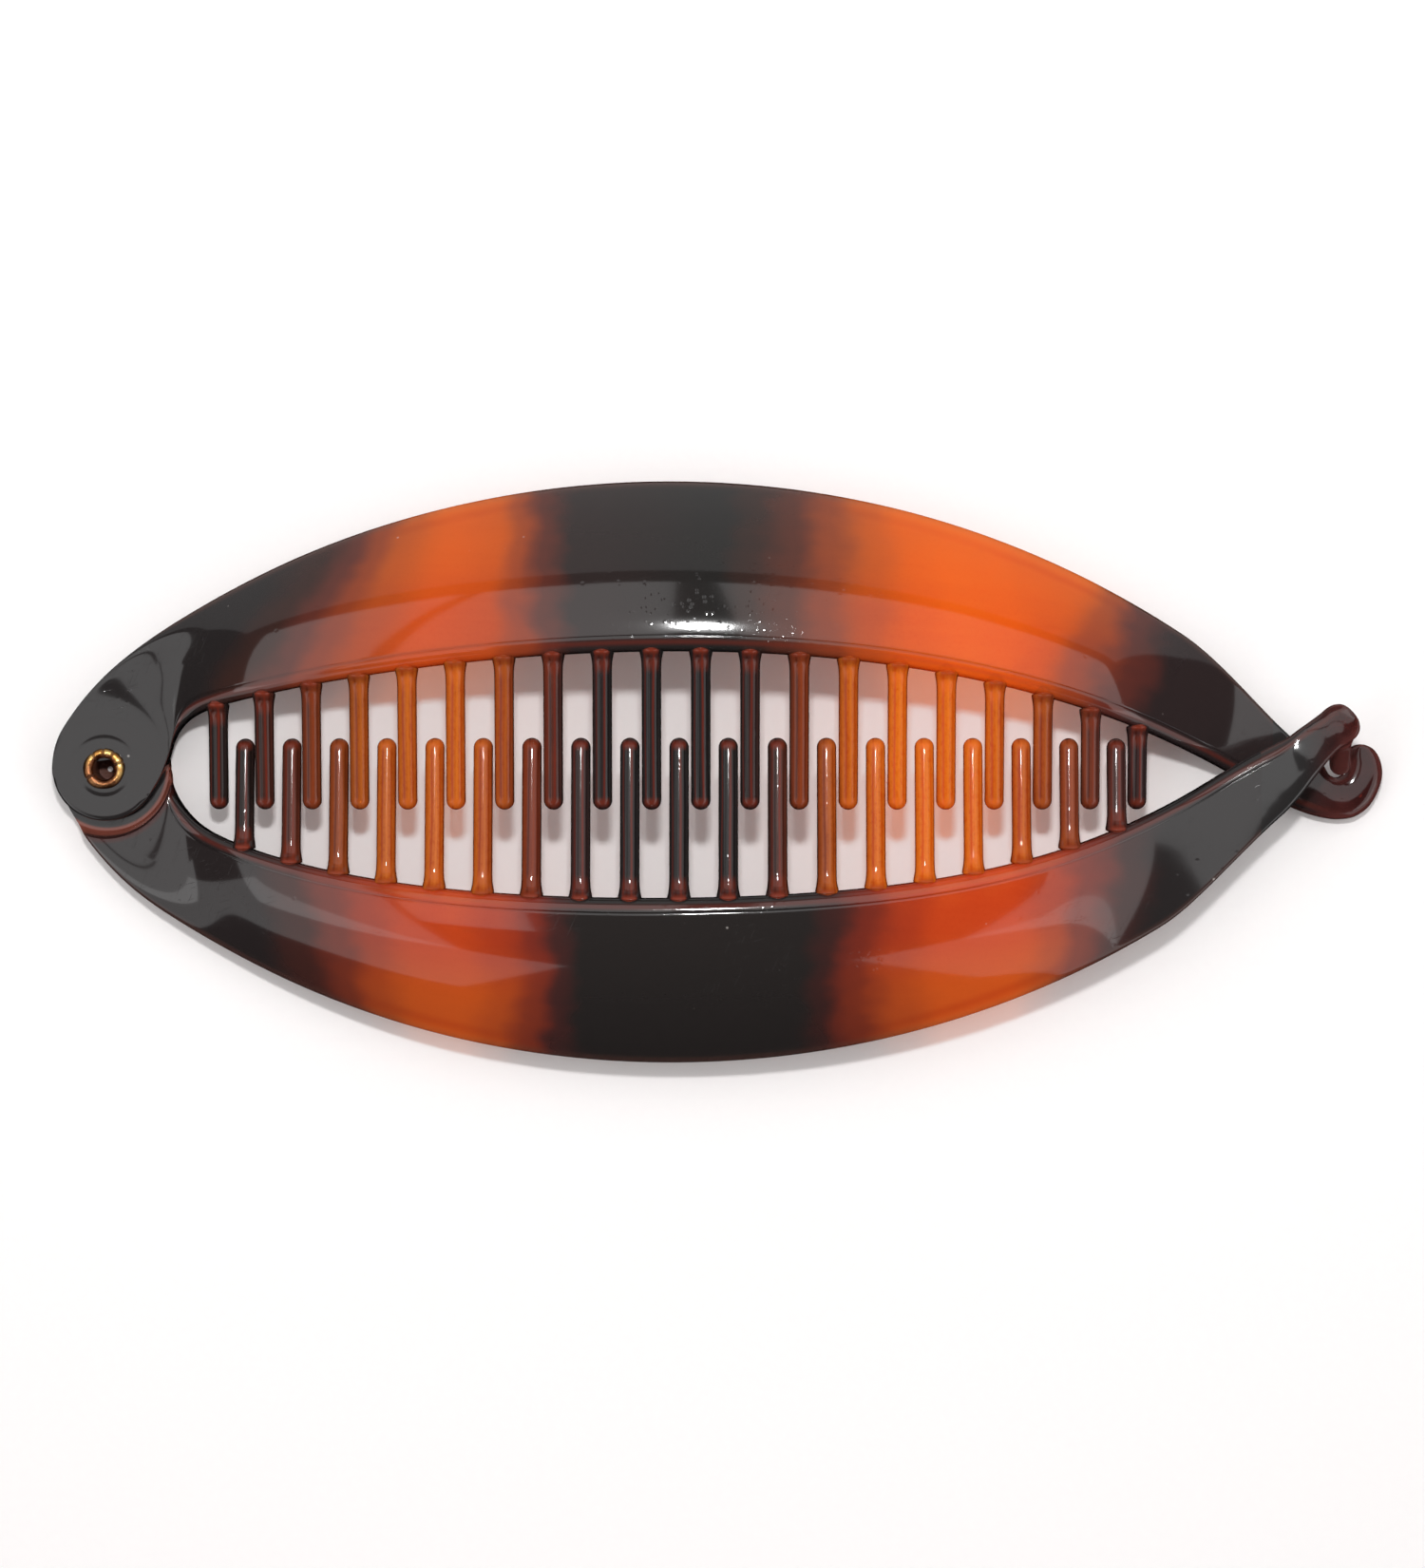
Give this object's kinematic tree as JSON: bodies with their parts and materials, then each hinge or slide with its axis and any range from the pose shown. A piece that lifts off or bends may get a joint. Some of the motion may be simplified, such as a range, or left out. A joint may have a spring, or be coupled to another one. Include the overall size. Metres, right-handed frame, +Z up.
{
  "type": "hair clip",
  "caption": "Fish-shaped interlocking comb hair clip: two arched tortoiseshell arms with comb teeth, pinned by a hollow eyelet, crossing at a hooked catch.",
  "frame": {"origin": "on the eyelet's axis at the face the clip lies on", "axes": "+X from the hinge to the tail along the clip's length, +Z up out of the convex side, along the eyelet's bore, +Y towards the arm that carries the tail hook"},
  "size_m": [0.1488, 0.0645, 0.019],
  "materials": {
    "arm_tortoiseshell": "polished cellulose-style plastic, amber with soft black bands, slightly see-through",
    "comb_tortoiseshell": "polished amber and black plastic, see-through where it is thin",
    "tail_oxblood": "polished dark red-brown plastic",
    "eyelet_brass": "rolled brass, worn and slightly tarnished"
  },
  "bodies": {
    "upper_arm": {"upper_shell": "arm_tortoiseshell", "upper_boss": "arm_tortoiseshell", "tail_hook": "tail_oxblood", "upper_tooth_1": "comb_tortoiseshell", "upper_tooth_2": "comb_tortoiseshell", "upper_tooth_3": "comb_tortoiseshell", "upper_tooth_4": "comb_tortoiseshell", "upper_tooth_5": "comb_tortoiseshell", "upper_tooth_6": "comb_tortoiseshell", "upper_tooth_7": "comb_tortoiseshell", "upper_tooth_8": "comb_tortoiseshell", "upper_tooth_9": "comb_tortoiseshell", "upper_tooth_10": "comb_tortoiseshell", "upper_tooth_11": "comb_tortoiseshell", "upper_tooth_12": "comb_tortoiseshell", "upper_tooth_13": "comb_tortoiseshell", "upper_tooth_14": "comb_tortoiseshell", "upper_tooth_15": "comb_tortoiseshell", "upper_tooth_16": "comb_tortoiseshell", "upper_tooth_17": "comb_tortoiseshell", "upper_tooth_18": "comb_tortoiseshell", "upper_tooth_19": "comb_tortoiseshell", "upper_tooth_20": "comb_tortoiseshell"},
    "eyelet": {"hinge_eyelet": "eyelet_brass"},
    "lower_arm": {"lower_shell": "arm_tortoiseshell", "lower_boss": "arm_tortoiseshell", "thumb_tab": "tail_oxblood", "catch_finger": "tail_oxblood", "lower_tooth_1": "comb_tortoiseshell", "lower_tooth_2": "comb_tortoiseshell", "lower_tooth_3": "comb_tortoiseshell", "lower_tooth_4": "comb_tortoiseshell", "lower_tooth_5": "comb_tortoiseshell", "lower_tooth_6": "comb_tortoiseshell", "lower_tooth_7": "comb_tortoiseshell", "lower_tooth_8": "comb_tortoiseshell", "lower_tooth_9": "comb_tortoiseshell", "lower_tooth_10": "comb_tortoiseshell", "lower_tooth_11": "comb_tortoiseshell", "lower_tooth_12": "comb_tortoiseshell", "lower_tooth_13": "comb_tortoiseshell", "lower_tooth_14": "comb_tortoiseshell", "lower_tooth_15": "comb_tortoiseshell", "lower_tooth_16": "comb_tortoiseshell", "lower_tooth_17": "comb_tortoiseshell", "lower_tooth_18": "comb_tortoiseshell", "lower_tooth_19": "comb_tortoiseshell"}
  },
  "joints": [
    {"name": "arm_swing", "type": "hinge", "parent": "upper_arm", "child": "eyelet", "pos_m": [0, 0, 0], "axis": [0, 0, 1], "range_deg": [-110, 0]},
    {"name": "tail_press", "type": "hinge", "parent": "eyelet", "child": "lower_arm", "pos_m": [0, 0, 0.0012], "axis": [0, -1, 0], "range_deg": [-0.6, 0.3], "stiffness_Nm_per_rad": 3}
  ]
}
